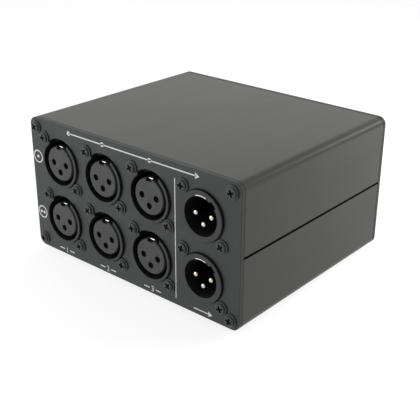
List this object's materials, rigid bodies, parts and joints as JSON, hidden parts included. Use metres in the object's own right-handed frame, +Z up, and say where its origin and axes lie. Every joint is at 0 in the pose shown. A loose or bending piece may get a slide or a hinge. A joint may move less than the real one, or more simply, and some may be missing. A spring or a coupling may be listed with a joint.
{
  "type": "audio switch box",
  "caption": "Desktop metal box that switches balanced stereo inputs to one output, with round three-pole sockets and plugs on one end and a rotary selector knob on the other.",
  "frame": {"origin": "bottom centre of the whole part, on the plane of the feet", "axes": "+Z up; +Y from the connector panel to the control panel with the knob; +X to the right as seen facing the connector panel"},
  "size_m": [0.115, 0.116, 0.0625],
  "materials": {
    "case": "black anodised, satin",
    "panel": "black, fine satin",
    "connector_shell": "moulded, satin",
    "connector_core": "moulded, satin",
    "contact_gold": "gold plated",
    "contact_silver": "bright tinned",
    "black_screw": "black zinc",
    "foot_rubber": "matt",
    "circuit_board": "green solder mask",
    "header_plastic": "moulded",
    "ribbon": "ribbed grey",
    "bright_steel": "nickel plated",
    "switch_plastic": "moulded",
    "knob_black": "black anodised, fluted",
    "white_inlay": "white"
  },
  "bodies": {
    "case": {"upper_shell": "case", "lower_shell": "case", "rear_panel": "panel", "front_panel": "panel", "panel_screws": "black_screw", "connector_screws": "black_screw", "rubber_feet": "foot_rubber", "connector_board": "circuit_board", "selector_board": "circuit_board", "box_headers": "header_plastic", "ribbon_plugs": "header_plastic", "ribbon_cables": "ribbon", "stop_ring": "bright_steel", "switch_case": "switch_plastic", "switch_stator": "switch_plastic", "switch_terminals": "contact_silver", "switch_bushing": "bright_steel", "lock_washer": "bright_steel", "bushing_nut": "bright_steel", "input_1_upper_shell": "connector_shell", "input_1_upper_core": "connector_core", "input_1_upper_contacts": "contact_gold", "input_1_upper_latch": "contact_silver", "input_2_upper_shell": "connector_shell", "input_2_upper_core": "connector_core", "input_2_upper_contacts": "contact_gold", "input_2_upper_latch": "contact_silver", "input_3_upper_shell": "connector_shell", "input_3_upper_core": "connector_core", "input_3_upper_contacts": "contact_gold", "input_3_upper_latch": "contact_silver", "input_1_lower_shell": "connector_shell", "input_1_lower_core": "connector_core", "input_1_lower_contacts": "contact_gold", "input_1_lower_latch": "contact_silver", "input_2_lower_shell": "connector_shell", "input_2_lower_core": "connector_core", "input_2_lower_contacts": "contact_gold", "input_2_lower_latch": "contact_silver", "input_3_lower_shell": "connector_shell", "input_3_lower_core": "connector_core", "input_3_lower_contacts": "contact_gold", "input_3_lower_latch": "contact_silver", "output_upper_shell": "connector_shell", "output_upper_core": "connector_core", "output_upper_pins": "contact_gold", "output_upper_ground_spring": "contact_silver", "output_lower_shell": "connector_shell", "output_lower_core": "connector_core", "output_lower_pins": "contact_gold", "output_lower_ground_spring": "contact_silver"},
    "selector": {"switch_shaft": "bright_steel", "switch_rotor": "switch_plastic", "rotor_wipers": "contact_silver", "detent_spring": "bright_steel", "detent_ball": "bright_steel", "knob": "knob_black", "knob_pointer": "white_inlay", "knob_set_screw": "black_screw"}
  },
  "joints": [
    {"name": "selector_turn", "type": "hinge", "parent": "case", "child": "selector", "pos_m": [0, 0.042, 0.0325], "axis": [0, -1, 0], "range_deg": [-30, 30]}
  ]
}
